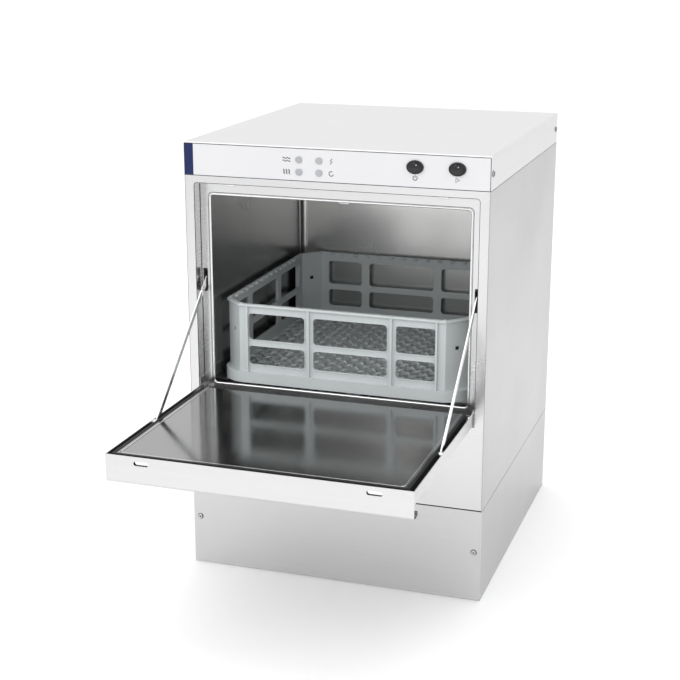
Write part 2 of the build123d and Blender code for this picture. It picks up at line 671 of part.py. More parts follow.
def make_hinge_and_catches():
    plate = block(door_half + 0.6, rebate_half, hinge_y - 7, seal_y, hinge_z - 8.5, hinge_z + 24)
    plate += rod_x(bracket_boss, rebate_half, rebate_half + 9, hinge_y, hinge_z)
    plate -= rod_x(hinge_pin_radius + running_gap, door_half - 1, rebate_half + 10, hinge_y, hinge_z)
    save("hinge_brackets", *both_sides(plate))

    housings, plungers = [], []
    catch_y = hinge_y + catch_offset
    roof = rebate_top + sheet
    for side in (-1, 1):
        x = side * catch_x
        box = block(x - 13, x + 13, catch_y - 7, catch_y + 7, roof, lid_bottom - 0.7)
        housings.append(box - block(x - 10, x + 10, catch_y - 4.5, catch_y + 4.5, roof - 1, lid_bottom - 1.7))
        tip = Pos(x, catch_y, rebate_top - 5) * extrude(SlotOverall(14, 3.4), 7)
        tip = fillet(tip.edges().group_by(Axis.Z)[0], 1.2)
        plungers.append(tip + block(x - 9, x + 9, catch_y - 3.5, catch_y + 3.5, roof + 0.3, roof + 2.3))
    save("catch_housings", *housings)
    save("catch_left", plungers[0])
    save("catch_right", plungers[1])
    save("door_switch", block(222, 232, seal_y + sheet, seal_y + 16, 584, 606))


def make_springs():
    """Door balance springs, drawn at their length with the door open, hooked to the rear panel."""
    spring_x, spring_z = 222.5, stay_points()[1][1] + 22
    fore, aft, coil, wire, turns = -196.0, 205.0, 4.2, 0.8, 42
    length = aft - fore
    path = Helix(pitch=length / turns, height=length, radius=coil)
    section = Plane(origin=path @ 0, z_dir=path % 0) * Circle(wire)
    body = sweep(section, path=path)
    body = Pos(spring_x, fore, spring_z) * Rot(-90, 0, 0) * body
    wall = back - 2 * sheet - 0.2
    anchor = rod_y(1.2, spring_x, aft + 2, wall - 4, spring_z)
    anchor += block(spring_x - 5, spring_x + 5, wall - 4, wall, spring_z - 8, spring_z + 8)
    save("door_springs", *both_sides(body), *both_sides(anchor))


# ---- Basket -----------------------------------------------------------------------------

def cut_square(size, cut):
    """Square with its corners cut at 45 degrees."""
    h = size / 2
    return Polygon((-h + cut, -h), (h - cut, -h), (h, -h + cut), (h, h - cut),
                   (h - cut, h), (-h + cut, h), (-h, h - cut), (-h, -h + cut), align=None)


def window_cutters():
    """Cutters for one wall: three bays in two rows, the wall facing -Y."""
    cutters = []
    left = -(sum(bays) + 2 * post) / 2
    for bay in bays:
        for low, high in window_rows:
            face = Pos(left + bay / 2, 0) * RectangleRounded(bay, high - low, 6)
            cutter = Rot(90, 0, 0) * extrude(face, 12, both=True)
            cutters.append(Pos(0, -body_size / 2, basket_bottom + (low + high) / 2) * cutter)
        left += bay + post
    return cutters


def fin_places():
    """Upright fins: at the outer edges of the outer bays and on the posts between bays."""
    outer = (sum(bays) + 2 * post) / 2
    first_post = -outer + bays[0] + post / 2
    return -outer - 1.5, first_post, first_post + bays[1] + post, outer + 1.5


def make_basket():
    top = basket_bottom + basket_height
    ledge = basket_bottom + skirt_height
    ring = RectangleRounded(basket_size, basket_size, skirt_corner)
    inner_size = basket_size - 2 * basket_wall
    skirt_inner = RectangleRounded(inner_size, inner_size, skirt_corner - basket_wall)
    plan = cut_square(body_size, corner_cut)
    plan_inner = offset(plan, amount=-basket_wall)
    basket = Pos(0, 0, basket_bottom) * extrude(ring - skirt_inner, skirt_height)
    basket += Pos(0, 0, ledge - basket_wall) * extrude(ring - plan_inner, basket_wall)
    floor_low, floor_thick = basket_bottom + 6, 6.0
    basket += Pos(0, 0, floor_low) * extrude(plan - plan_inner, top - floor_low)
    rim = offset(plan, amount=2.0) - plan_inner
    basket += Pos(0, 0, top - 5) * extrude(rim, 5)
    for quarter in range(4):
        turn = Rot(0, 0, 90 * quarter)
        for cutter in window_cutters():
            basket -= turn * cutter
        for x in fin_places():
            fin = block(x - 1.5, x + 1.5, -body_size / 2 - 4.5, -body_size / 2 + 1, ledge - 1, top - 1)
            basket += turn * fin
        corner = body_size / 2 - corner_cut / 2
        basket -= turn * Pos(corner, -corner, top - 45) * Rot(0, 0, 45) * Box(7, 20, 6)
        if quarter % 2:
            for k in range(-6, 7):
                notch = Pos(notch_pitch * k, -body_size / 2, top - 1.5) * Box(10, 12, 5)
                basket -= turn * notch
    rib = Box(basket_size * math.sqrt(2), 3, floor_thick)
    count = int(basket_size * math.sqrt(0.5) / rib_pitch)
    ribs = [Rot(0, 0, turn) * Pos(0, rib_pitch * k, floor_thick / 2) * rib
            for turn in (45, -45) for k in range(-count, count + 1)]
    floor_plan = offset(plan_inner, amount=1.0)
    lattice = (Part() + ribs) & extrude(floor_plan, floor_thick)
    lattice += extrude(floor_plan - offset(plan_inner, amount=-8), floor_thick)
    basket += Pos(0, 0, floor_low) * lattice
    save("glass_basket", Pos(0, centre_y, 0) * basket)


screws = make_base()
make_side_panels()
screws += make_rear_panel()
screws += make_top_cover()
save("panel_screws", *screws)
make_controls()
make_front_frame()
make_tub()
make_sump()
make_tank_heater()
make_arms()
make_pump()
make_boiler()
make_connections()
make_base_fittings()
make_door()
make_stays()
make_hinge_and_catches()
make_springs()
make_basket()
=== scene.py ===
import json
import math

import bpy
from mathutils import Matrix, Vector


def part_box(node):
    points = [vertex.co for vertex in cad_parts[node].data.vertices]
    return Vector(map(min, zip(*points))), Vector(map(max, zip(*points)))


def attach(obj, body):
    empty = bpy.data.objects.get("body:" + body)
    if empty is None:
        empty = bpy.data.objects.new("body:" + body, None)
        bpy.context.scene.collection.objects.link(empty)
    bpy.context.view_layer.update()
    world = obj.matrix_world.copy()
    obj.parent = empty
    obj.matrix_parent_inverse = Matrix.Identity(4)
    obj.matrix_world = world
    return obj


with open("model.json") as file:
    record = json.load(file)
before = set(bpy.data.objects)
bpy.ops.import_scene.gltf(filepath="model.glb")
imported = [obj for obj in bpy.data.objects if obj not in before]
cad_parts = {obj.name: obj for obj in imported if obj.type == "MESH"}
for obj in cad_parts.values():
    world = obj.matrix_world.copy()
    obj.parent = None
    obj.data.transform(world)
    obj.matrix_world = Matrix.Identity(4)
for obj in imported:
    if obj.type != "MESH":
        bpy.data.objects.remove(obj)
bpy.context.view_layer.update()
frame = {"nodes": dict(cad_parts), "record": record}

MM = 0.001


# ---- Node helpers ----------------------------------------------------------------------

def new_material(name, colour, metallic, roughness):
    """Principled material with its even values set on the shader itself."""
    material = bpy.data.materials.new(name)
    material.use_nodes = True
    tree = material.node_tree
    shader = next(n for n in tree.nodes if n.type == "BSDF_PRINCIPLED")
    shader.inputs["Base Color"].default_value = (*colour, 1.0)
    shader.inputs["Metallic"].default_value = metallic
    shader.inputs["Roughness"].default_value = roughness
    return material, tree, shader


def position(tree, scale=(1.0, 1.0, 1.0)):
    """Object coordinates in metres, stretched along the axes."""
    coords = tree.nodes.new("ShaderNodeTexCoord")
    mapping = tree.nodes.new("ShaderNodeMapping")
    mapping.inputs["Scale"].default_value = scale
    tree.links.new(coords.outputs["Object"], mapping.inputs["Vector"])
    return mapping.outputs["Vector"]


def noise(tree, vector, scale, detail=2.0):
    """Cloudy pattern around one half; the scale is in spots per metre."""
    texture = tree.nodes.new("ShaderNodeTexNoise")
    texture.inputs["Scale"].default_value = scale
    texture.inputs["Detail"].default_value = detail
    tree.links.new(vector, texture.inputs["Vector"])
    return texture.outputs[0]


def remap(tree, value, low, high, start=0.3, end=0.7):
    """Maps start..end of the value to low..high."""
    node = tree.nodes.new("ShaderNodeMapRange")
    for socket, number in zip(("From Min", "From Max", "To Min", "To Max"), (start, end, low, high)):
        node.inputs[socket].default_value = number
    tree.links.new(value, node.inputs["Value"])
    return node.outputs["Result"]


def maths(tree, operation, first, second):
    """Math node; each input is a number or a socket."""
    node = tree.nodes.new("ShaderNodeMath")
    node.operation = operation
    for socket, value in zip(node.inputs, (first, second)):
        if isinstance(value, (int, float)):
            socket.default_value = value
        else:
            tree.links.new(value, socket)
    return node.outputs[0]


def tint(tree, value, colour, amount):
    """Colour that varies by the amount either side of the given one."""
    ramp = tree.nodes.new("ShaderNodeValToRGB")
    ramp.color_ramp.elements[0].position = 0.3
    ramp.color_ramp.elements[1].position = 0.7
    ramp.color_ramp.elements[0].color = (*[c * (1 - amount) for c in colour], 1.0)
    ramp.color_ramp.elements[1].color = (*[min(1.0, c * (1 + amount)) for c in colour], 1.0)
    tree.links.new(value, ramp.inputs[0])
    return ramp.outputs[0]


def add_bump(tree, shader, height, strength, distance, below=None):
    """Bump on the shader's normal, on top of an earlier one if given."""
    bump = tree.nodes.new("ShaderNodeBump")
    bump.inputs["Strength"].default_value = strength
    bump.inputs["Distance"].default_value = distance
    tree.links.new(height, bump.inputs["Height"])
    if below is not None:
        tree.links.new(below, bump.inputs["Normal"])
    tree.links.new(bump.outputs["Normal"], shader.inputs["Normal"])
    return bump.outputs["Normal"]


def normal_part(tree, axis):
    """How far a face's normal points along an axis, either way."""
    geometry = tree.nodes.new("ShaderNodeNewGeometry")
    split = tree.nodes.new("ShaderNodeSeparateXYZ")
    tree.links.new(geometry.outputs["Normal"], split.inputs[0])
    return maths(tree, "ABSOLUTE", split.outputs[axis], 0.0)


def grain(tree, frequency, vertical=False):
    """Fine lines: level or vertical on upright faces, and along X on flat ones."""
    stretch = (frequency, frequency, 4) if vertical else (4, 4, frequency)
    upright = noise(tree, position(tree, stretch), 1.0, 3.0)
    flat = noise(tree, position(tree, (4, frequency, 4)), 1.0, 3.0)
    facing_up = maths(tree, "GREATER_THAN", normal_part(tree, 2), 0.7)
    mix = tree.nodes.new("ShaderNodeMix")
    tree.links.new(facing_up, mix.inputs[0])
    tree.links.new(upright, mix.inputs[2])
    tree.links.new(flat, mix.inputs[3])
    return mix.outputs[0]


def stainless(name, colour, roughness, lines=0.05, waves=0.0, smudge=0.04, vertical=False, painted_side_shade=1.0):
    """Rolled sheet: fine brush lines, faint smudges and slow waves; faces along X can be painted darker as
    painted shade.
    """
    material, tree, shader = new_material(name, colour, 1.0, roughness)
    fine = grain(tree, 1500, vertical)
    coarse = grain(tree, 260, vertical)
    cloud = noise(tree, position(tree), 5.0, 3.0)
    base = tint(tree, coarse, colour, lines * 0.5)
    # Painted shade: faces whose normal points along X get their base colour scaled down by the side factor.
    if painted_side_shade != 1.0:
        side_shade_level = remap(tree, normal_part(tree, 0), 1.0, painted_side_shade, 0.2, 0.9)
        scaled = tree.nodes.new("ShaderNodeVectorMath")
        scaled.operation = "SCALE"
        tree.links.new(base, scaled.inputs[0])
        tree.links.new(side_shade_level, scaled.inputs["Scale"])
        base = scaled.outputs[0]
    tree.links.new(base, shader.inputs["Base Color"])
    level = maths(tree, "ADD", remap(tree, fine, roughness - lines, roughness + lines),
                  remap(tree, cloud, -smudge, smudge))
    tree.links.new(level, shader.inputs["Roughness"])
    slow = noise(tree, position(tree), 7.0, 1.0)
    under = add_bump(tree, shader, slow, 1.0, waves * MM) if waves else None
    add_bump(tree, shader, fine, 7.0 * lines, 0.02 * MM, under)
    return material


def moulded(name, colour, roughness, texture=0.03, scale=900.0, spread=0.04, coat=0.0, specular=0.5):
    """Plastic or rubber with a fine moulded skin and slight shade changes."""
    material, tree, shader = new_material(name, colour, 0.0, roughness)
    shader.inputs["Specular IOR Level"].default_value = specular
    cloud = noise(tree, position(tree), 14.0, 4.0)
    skin = noise(tree, position(tree), scale, 2.0)
    tree.links.new(tint(tree, cloud, colour, spread), shader.inputs["Base Color"])
    level = remap(tree, cloud, roughness * 0.88, min(1.0, roughness * 1.12))
    tree.links.new(level, shader.inputs["Roughness"])
    add_bump(tree, shader, skin, 0.6, texture * MM)
    if coat:
        shader.inputs["Coat Weight"].default_value = coat
        shader.inputs["Coat Roughness"].default_value = 0.05
    return material


SLOT_MATERIALS = {
    "stainless_panel": stainless("stainless_panel", (0.67, 0.67, 0.675), 0.34, 0.025),
    "stainless_frame": stainless("stainless_frame", (0.63, 0.63, 0.635), 0.28, 0.008),
    # The chamber's side walls are painted darker than its back and floor, as painted shade.
    "stainless_tub": stainless("stainless_tub", (0.69, 0.69, 0.68), 0.25, 0.005, waves=0.05, smudge=0.03,
                               vertical=True, painted_side_shade=0.45),
    "stainless_liner": stainless("stainless_liner", (0.31, 0.31, 0.31), 0.13, 0.012, waves=0.06, smudge=0.03),
    "bright_steel": stainless("bright_steel", (0.78, 0.78, 0.78), 0.16, 0.02),
    "arm_steel": stainless("arm_steel", (0.60, 0.60, 0.60), 0.28, 0.03),
    "fascia_white": moulded("fascia_white", (0.645, 0.645, 0.66), 0.35, 0.01, 700.0, 0.01, coat=0.1),
    "strip_navy": moulded("strip_navy", (0.012, 0.022, 0.085), 0.35, 0.01, 700.0, 0.05, specular=0.2),
    "lamp_lens": moulded("lamp_lens", (0.36, 0.37, 0.40), 0.22, 0.02, 300.0, 0.05, coat=0.3),
    "button_black": moulded("button_black", (0.004, 0.004, 0.005), 0.06, 0.002, 200.0, 0.2),
    "black_plastic": moulded("black_plastic", (0.014, 0.014, 0.015), 0.42, 0.03, 1200.0, 0.15, specular=0.3),
    "rubber_black": moulded("rubber_black", (0.012, 0.012, 0.013), 0.65, 0.04, 900.0, 0.2, specular=0.3),
    "basket_plastic": moulded("basket_plastic", (0.55, 0.585, 0.59), 0.42, 0.03, 800.0, 0.03),
    "brass_fitting": stainless("brass_fitting", (0.72, 0.52, 0.26), 0.28, 0.05),
    "motor_paint": moulded("motor_paint", (0.10, 0.11, 0.12), 0.40, 0.05, 500.0, 0.06),
    "board_green": moulded("board_green", (0.03, 0.14, 0.07), 0.35, 0.03, 400.0, 0.1),
    "grey_plastic": moulded("grey_plastic", (0.35, 0.36, 0.37), 0.42, 0.03, 900.0, 0.04),
}
# Painted shade: the side, back, base and door sheets are copies of the panel steel, a shade darker than the
# front and top; the screws' faces along X are painted darker than their other faces.
SHADED_SIDE_SHEET = stainless("stainless_side_shaded", (0.475, 0.475, 0.48), 0.34, 0.025)
SHADED_BASE_SHEET = stainless("stainless_base_shaded", (0.58, 0.58, 0.585), 0.34, 0.025)
SHADED_DOOR_SHEET = stainless("stainless_door_shaded", (0.62, 0.62, 0.62), 0.32, 0.02)
SIDE_SHADED_SCREW_STEEL = stainless("screw_steel_side_shaded", (0.62, 0.62, 0.62), 0.28, 0.02, painted_side_shade=0.15)
NODE_MATERIALS = {
    "side_panel_left": SHADED_SIDE_SHEET,
    "side_panel_right": SHADED_SIDE_SHEET,
    "rear_panel": SHADED_SIDE_SHEET,
    "base_shell": SHADED_SIDE_SHEET,
    "base_front_panel": SHADED_BASE_SHEET,
    "door_outer_skin": SHADED_DOOR_SHEET,
    "panel_screws": SIDE_SHADED_SCREW_STEEL,
}
slot_of = {part["node"]: part["material_slot"] for part in frame["record"]["subparts"]}

for name, obj in frame["nodes"].items():
    obj.data.materials.clear()
    obj.data.materials.append(NODE_MATERIALS.get(name, SLOT_MATERIALS[slot_of[name]]))
    obj.data.shade_smooth()
    obj.data.set_sharp_from_angle(angle=math.radians(32))


# ---- Mesh helpers ----------------------------------------------------------------------

def add_piece(name, verts, faces, material_slot, body):
    """One smooth-shaded mesh piece that rides on a body."""
    mesh = bpy.data.meshes.new(name)
    mesh.from_pydata(verts, [], faces)
    mesh.validate()
    mesh.shade_smooth()
    mesh.set_sharp_from_angle(angle=math.radians(40))
    mesh.materials.append(SLOT_MATERIALS[material_slot])
    piece = bpy.data.objects.new(name, mesh)
    bpy.context.scene.collection.objects.link(piece)
    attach(piece, body)


def neighbours(path, i, closed):
    """Places before and after the given one; at the end of an open path that is the end itself."""
    before = path[i - 1] if closed or i else path[i]
    after = path[(i + 1) % len(path)] if closed or i < len(path) - 1 else path[i]
    return before, after


def tube(points, radius, closed, sides=8, normal=(0, 0, 1)):
    """Vertices and faces of a round bar along the points; the normal is square to the run."""
    verts, faces = [], []
    count = len(points)
    normal = Vector(normal).normalized()
    for i, point in enumerate(points):
        before, after = neighbours(points, i, closed)
        along = (after - before).normalized()
        across = along.cross(normal).normalized()
        for k in range(sides):
            angle = 2 * math.pi * k / sides
            verts.append(point + radius * (across * math.cos(angle) + normal * math.sin(angle)))
    for i in range(count if closed else count - 1):
        for k in range(sides):
            here, there = i * sides, (i + 1) % count * sides
            faces.append((here + k, here + (k + 1) % sides, there + (k + 1) % sides, there + k))
    if not closed:
        faces.append(tuple(range(sides))[::-1])
        faces.append(tuple((count - 1) * sides + k for k in range(sides)))
    return verts, faces


def ellipsoid(centre, radii, turn, rings=5, sides=10):
    """Ellipsoid with its first two radii turned about Z."""
    verts, faces = [], []
    spin = Matrix.Rotation(turn, 3, "Z")
    for i in range(1, rings):
        polar = math.pi * i / rings
        for k in range(sides):
            angle = 2 * math.pi * k / sides
            local = Vector((radii[0] * math.sin(polar) * math.cos(angle),
                            radii[1] * math.sin(polar) * math.sin(angle), radii[2] * math.cos(polar)))
            verts.append(centre + spin @ local)
    verts.append(centre + Vector((0, 0, radii[2])))
    verts.append(centre - Vector((0, 0, radii[2])))
    top, bottom = len(verts) - 2, len(verts) - 1
    for i in range(rings - 2):
        for k in range(sides):
            a, b = i * sides + k, i * sides + (k + 1) % sides
            faces.append((a, a + sides, b + sides, b))
    for k in range(sides):
        faces.append((top, k, (k + 1) % sides))
        last = (rings - 2) * sides
        faces.append((bottom, last + (k + 1) % sides, last + k))
    return verts, faces


def merged(parts):
    """Joins several (vertices, faces) into one."""
    verts, faces = [], []
    for part_verts, part_faces in parts:
        start = len(verts)
        verts += part_verts
        faces += [tuple(start + index for index in face) for face in part_faces]
    return verts, faces


def rounded_rectangle(width, height, radius, steps=5):
    """Outline as (u, v), anticlockwise."""
    points = []
    for quarter, (su, sv) in enumerate(((1, 1), (-1, 1), (-1, -1), (1, -1))):
        for k in range(steps + 1):
            angle = math.pi / 2 * (quarter + k / steps)
            points.append((su * (width / 2 - radius) + radius * math.cos(angle),
                           sv * (height / 2 - radius) + radius * math.sin(angle)))
    return points


# ---- Basket detail ---------------------------------------------------------------------

BASKET_HALF = 194 * MM
BASKET_CUT = 29 * MM
basket_low, basket_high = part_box("glass_basket")
basket_middle = (basket_low + basket_high) / 2


def on_basket(x, y, z, quarter):
    """Place with x and y given from the basket's middle, turned by quarter turns."""
    angle = math.pi / 2 * quarter
    return Vector((basket_middle.x + x * math.cos(angle) - y * math.sin(angle),
                   basket_middle.y + x * math.sin(angle) + y * math.cos(angle), z))


def basket_trim():
    """Rim bead, and a raised border around each window."""
    bays = (92 * MM, 118 * MM, 62 * MM)
    rows = ((29 * MM, 59 * MM), (69 * MM, 111 * MM))
    post = 14 * MM
    bead, bead_drop = 2.5 * MM, 2.4 * MM
    border, margin, corner_radius = 0.9 * MM, 1.6 * MM, 6.5 * MM
    rim_z = basket_high.z - bead_drop
    end, face = BASKET_HALF - BASKET_CUT, BASKET_HALF + 1.2 * MM
    border_y = -BASKET_HALF - 0.2 * MM
    trim = []
    for quarter in range(4):
        run = [on_basket(-end, -face, rim_z, quarter), on_basket(end, -face, rim_z, quarter)]
        trim.append(tube(run, bead, False, 10))
        corner = [on_basket(end, -face, rim_z, quarter), on_basket(face, -end, rim_z, quarter)]
        trim.append(tube(corner, bead, False, 10))
        facing = on_basket(0, -1, 0, quarter) - on_basket(0, 0, 0, quarter)
        left = -(sum(bays) + 2 * post) / 2
        for bay in bays:
            for bottom, top in rows:
                centre_x = left + bay / 2
                centre_z = basket_low.z + (bottom + top) / 2
                outline = rounded_rectangle(bay + margin, top - bottom + margin, corner_radius)
                ring = [on_basket(centre_x + u, border_y, centre_z + v, quarter) for u, v in outline]
                trim.append(tube(ring, border, True, 6, facing))
            left += bay + post
    add_piece("basket_trim", *merged(trim), "basket_plastic", "basket")


def basket_corner_plates():
    """Dark plate in the small square hole of each cut corner."""
    half, depth, hole_drop = 5.5 * MM, 2.4 * MM, 45 * MM
    square = ((-half, -half), (half, -half), (half, half), (-half, half))
    reach = (BASKET_HALF - BASKET_CUT / 2) * math.sqrt(2) - depth
    plates = []
    for quarter in range(4):
        angle = math.pi / 4 + math.pi / 2 * quarter
        out = Vector((math.cos(angle), math.sin(angle), 0.0))
        across = Vector((-out.y, out.x, 0.0))
        centre = Vector((basket_middle.x, basket_middle.y, basket_high.z - hole_drop)) + out * reach
        plates.append(([centre + across * u + Vector((0, 0, v)) for u, v in square], [(0, 1, 2, 3)]))
    add_piece("basket_corner_plates", *merged(plates), "black_plastic", "basket")


def basket_rim_nubs():
    """Row of nubs on three sides of the rim, and one at each end of every side."""
    pitch, end_place = 22 * MM, 163 * MM
    nubs = []
    for quarter in (1, 2, 3):
        for k in range(-6, 7):
            x = pitch * (k + 0.5)
            centre = on_basket(x, -BASKET_HALF + 3.5 * MM, basket_high.z - 2.2 * MM, quarter)
            nubs.append(ellipsoid(centre, (4.6 * MM, 3.6 * MM, 3.4 * MM), math.pi / 2 * quarter))
    for quarter in range(4):
        for sign in (-1, 1):
            centre = on_basket(sign * end_place, -BASKET_HALF + 1.5 * MM, basket_high.z - 1.5 * MM, quarter)
            nubs.append(ellipsoid(centre, (4.0 * MM, 3.6 * MM, 3.0 * MM), math.pi / 2 * quarter))
    add_piece("basket_rim_nubs", *merged(nubs), "basket_plastic", "basket")


def basket_floor_bumps():
    """Long bumps on the crossings of the diagonal lattice, turned by turns."""
    pitch, edge, rise = 20 * MM, 8 * MM, 12.2 * MM
    step = pitch / math.sqrt(2)
    reach = BASKET_HALF - edge
    count = int(reach * math.sqrt(2) / pitch) + 1
    bumps = []
    for i in range(-count, count + 1):
        for j in range(-count, count + 1):
            x, y = (i - j) * step, (i + j) * step
            if max(abs(x), abs(y)) > reach or abs(x) + abs(y) > 2 * reach - BASKET_CUT:
                continue
            turn = math.pi / 4 if (i + j) % 2 else -math.pi / 4
            centre = Vector((basket_middle.x + x, basket_middle.y + y, basket_low.z + rise))
            bumps.append(ellipsoid(centre, (7.2 * MM, 3.0 * MM, 3.2 * MM), turn))
    add_piece("basket_floor_bumps", *merged(bumps), "basket_plastic", "basket")


basket_trim()
basket_corner_plates()
basket_rim_nubs()
basket_floor_bumps()


# ---- Cabinet detail --------------------------------------------------------------------

lid_low, lid_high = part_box("top_cover")
base_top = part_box("base_shell")[1].z
door_low, door_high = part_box("door_outer_skin")
liner_low, liner_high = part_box("door_inner_liner")
lamps_low, lamps_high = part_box("indicator_lamps")
half_width, front, back = lid_high.x, lid_low.y, lid_high.y

# Doorway, and the rebate in the front sheet that the door closes into
DOORWAY_HALF = 205 * MM
DOORWAY_TOP, DOORWAY_BOTTOM = 600 * MM, 300.6 * MM
REBATE_HALF = 220 * MM
REBATE_TOP = 619 * MM
REBATE_CORNER = 5 * MM
REBATE_SILL_DROP = 22 * MM
SEAL_FACE = 22 * MM

# Panel screws: distances in from the cabinet's edges, and levels
FRONT_SCREW_INSET, FRONT_SCREW_LEVEL = 11 * MM, 79 * MM
LID_SCREW_PLACES, LID_SCREW_LEVEL = (front + 11 * MM, back - 14 * MM), lid_low.z + 23.65 * MM
REAR_SCREW_INSET, REAR_SCREW_LEVELS = 9 * MM, (170 * MM, 388 * MM, 606 * MM)
SCREW_HEAD_HEIGHT = 2.0 * MM

LAMP_RADIUS = 5.0 * MM


def on_front(points, y):
    """Points given as (x, z) on an upright plane facing the front."""
    return [Vector((x, y, z)) for x, z in points]


def arc(centre_u, centre_v, radius, start, sweep, steps):
    """Points along an arc; a full turn ends on the point it began with."""
    return [(centre_u + radius * math.cos(start + sweep * k / steps),
             centre_v + radius * math.sin(start + sweep * k / steps)) for k in range(steps + 1)]


def doorway_rim():
    """Rolled bright edge around the doorway, with a thin black line outside it as painted shadow."""
    face = front + SEAL_FACE
    middle_z = (DOORWAY_TOP + DOORWAY_BOTTOM) / 2
    width, height = 2 * DOORWAY_HALF, DOORWAY_TOP - DOORWAY_BOTTOM
    radius, sunk = 1.9 * MM, 1.1 * MM
    outline = rounded_rectangle(width - radius, height - radius, 6 * MM, 8)
    # The lower run lies below the basket's path, and the front of the bead behind the shut liner.
    lower = DOORWAY_BOTTOM + 0.1 * MM - radius - (middle_z - (height - radius) / 2)
    ring = [Vector((u, face + sunk, middle_z + v + (lower if v < 0 else 0.0))) for u, v in outline]
    add_piece("doorway_rim", *tube(ring, radius, True, 12, (0, 1, 0)), "bright_steel", "cabinet")

    # Painted shadow: a thin black cord just outside the bright edge stands in for the shade there.
    margin, line_radius, line_sunk = 3.0 * MM, 0.55 * MM, 0.35 * MM
    outline = rounded_rectangle(width + margin, height + margin, 7 * MM, 8)
    ring = [Vector((u, face + line_sunk, middle_z + v)) for u, v in outline]
    add_piece("doorway_shadow_line", *tube(ring, line_radius, True, 8, (0, 1, 0)), "black_plastic", "cabinet")


def rebate_edge(sill):
    """Dark shadow lines where the front sheet folds back into the rebate."""
    corner, side, top = REBATE_CORNER, REBATE_HALF, REBATE_TOP
    path = [(side, sill)] + arc(side - corner, top - corner, corner, 0, math.pi / 2, 6)
    path += arc(corner - side, top - corner, corner, math.pi / 2, math.pi / 2, 6) + [(-side, sill)]
    radius = 0.6 * MM
    outer = tube(on_front(path, front + 0.5 * MM), radius, False, 8, (0, 1, 0))
    inner = tube(on_front(path, front + SEAL_FACE - 0.4 * MM), radius, False, 8, (0, 1, 0))
    add_piece("rebate_shadow_lines", *merged([outer, inner]), "black_plastic", "cabinet")


def seam_shadow_cords():
    """Thin black cords in the joints between the lid, fascia, side sheets and base, as painted shadow in the
    gaps.
    """
    seam, inset = 0.35 * MM, 0.25 * MM
    middle_y = (front + back) / 2
    outline = rounded_rectangle(2 * (half_width - inset), back - front - 2 * inset, 1.2 * MM, 3)
    cords = []
    for z, radius in ((lid_low.z - seam, 0.5 * MM), (base_top + seam, 0.45 * MM)):
        cords.append(tube([Vector((u, middle_y + v, z)) for u, v in outline], radius, True, 8))

    fascia_low, fascia_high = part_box("control_fascia")
    ends = half_width - 1.5 * MM
    for z, radius, y in ((fascia_high.z + 0.3 * MM, 0.5 * MM, front + 0.1 * MM),
                         (base_top + 0.9 * MM, 0.95 * MM, front + 0.75 * MM)):
        cords.append(tube(on_front([(-ends, z), (ends, z)], y), radius, False, 8))
    for side in (-1, 1):
        x = side * (half_width - 0.9 * MM)
        run = on_front([(x, fascia_low.z), (x, fascia_high.z)], front + 0.15 * MM)
        cords.append(tube(run, 0.5 * MM, False, 8, (0, 1, 0)))
    add_piece("seam_shadow_cords", *merged(cords), "rubber_black", "cabinet")


def screw_shadow_rings():
    """Dark rings under the panel screws, as painted shadow around each head."""
    ring_radius, bar_radius, steps = 4.1 * MM, 0.75 * MM, 20
    circle = arc(0, 0, ring_radius, 0, 2 * math.pi, steps)[:-1]
    rings = []
    for side in (-1, 1):
        places = [(side * (half_width - FRONT_SCREW_INSET), front, FRONT_SCREW_LEVEL)]
        places += [(side * (half_width - REAR_SCREW_INSET), back, z) for z in REAR_SCREW_LEVELS]
        for x, y, z in places:
            ring = on_front([(x + u, z + v) for u, v in circle], y)
            rings.append(tube(ring, bar_radius, True, 8, (0, 1, 0)))
        for y in LID_SCREW_PLACES:
            ring = [Vector((side * half_width, y + u, LID_SCREW_LEVEL + v)) for u, v in circle]
            rings.append(tube(ring, bar_radius, True, 8, (1, 0, 0)))
    add_piece("screw_shadow_rings", *merged(rings), "black_plastic", "cabinet")


def screw_recess_shade():
    """Flat dark crosses on the heads of the front and side screws, as painted shade in their cross recesses.
    """
    reach, half = 2.2 * MM, 0.55 * MM
    above = SCREW_HEAD_HEIGHT + 0.01 * MM
    cross = [(-half, reach), (-half, half), (-reach, half), (-reach, -half), (-half, -half), (-half, -reach),
             (half, -reach), (half, -half), (reach, -half), (reach, half), (half, half), (half, reach)]
    face = [tuple(range(len(cross)))]
    crosses = []
    for side in (-1, 1):
        x = side * (half_width - FRONT_SCREW_INSET)
        crosses.append((on_front([(x + u, FRONT_SCREW_LEVEL + v) for u, v in cross], front - above), face))
        for y in LID_SCREW_PLACES:
            outline = [Vector((side * (half_width + above), y + u, LID_SCREW_LEVEL + v)) for u, v in cross]
            crosses.append((outline, face))
    add_piece("screw_recess_shade", *merged(crosses), "black_plastic", "cabinet")


def chamber_beads():
    """Upright weld beads on both sides of the rounded back corners of the chamber."""
    low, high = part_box("wash_tub")
    wall, corner, bead, gap = 1.0 * MM, 10 * MM, 1.1 * MM, 2 * MM
    side, rear = high.x - wall, high.y - wall
    beads = []
    for sign in (-1, 1):
        for x, y in ((side, rear - corner), (side - corner, rear)):
            ends = [Vector((sign * x, y, z)) for z in (low.z + gap, high.z - gap)]
            beads.append(tube(ends, bead, False, 10, (0, 1, 0)))
    add_piece("chamber_beads", *merged(beads), "bright_steel", "cabinet")


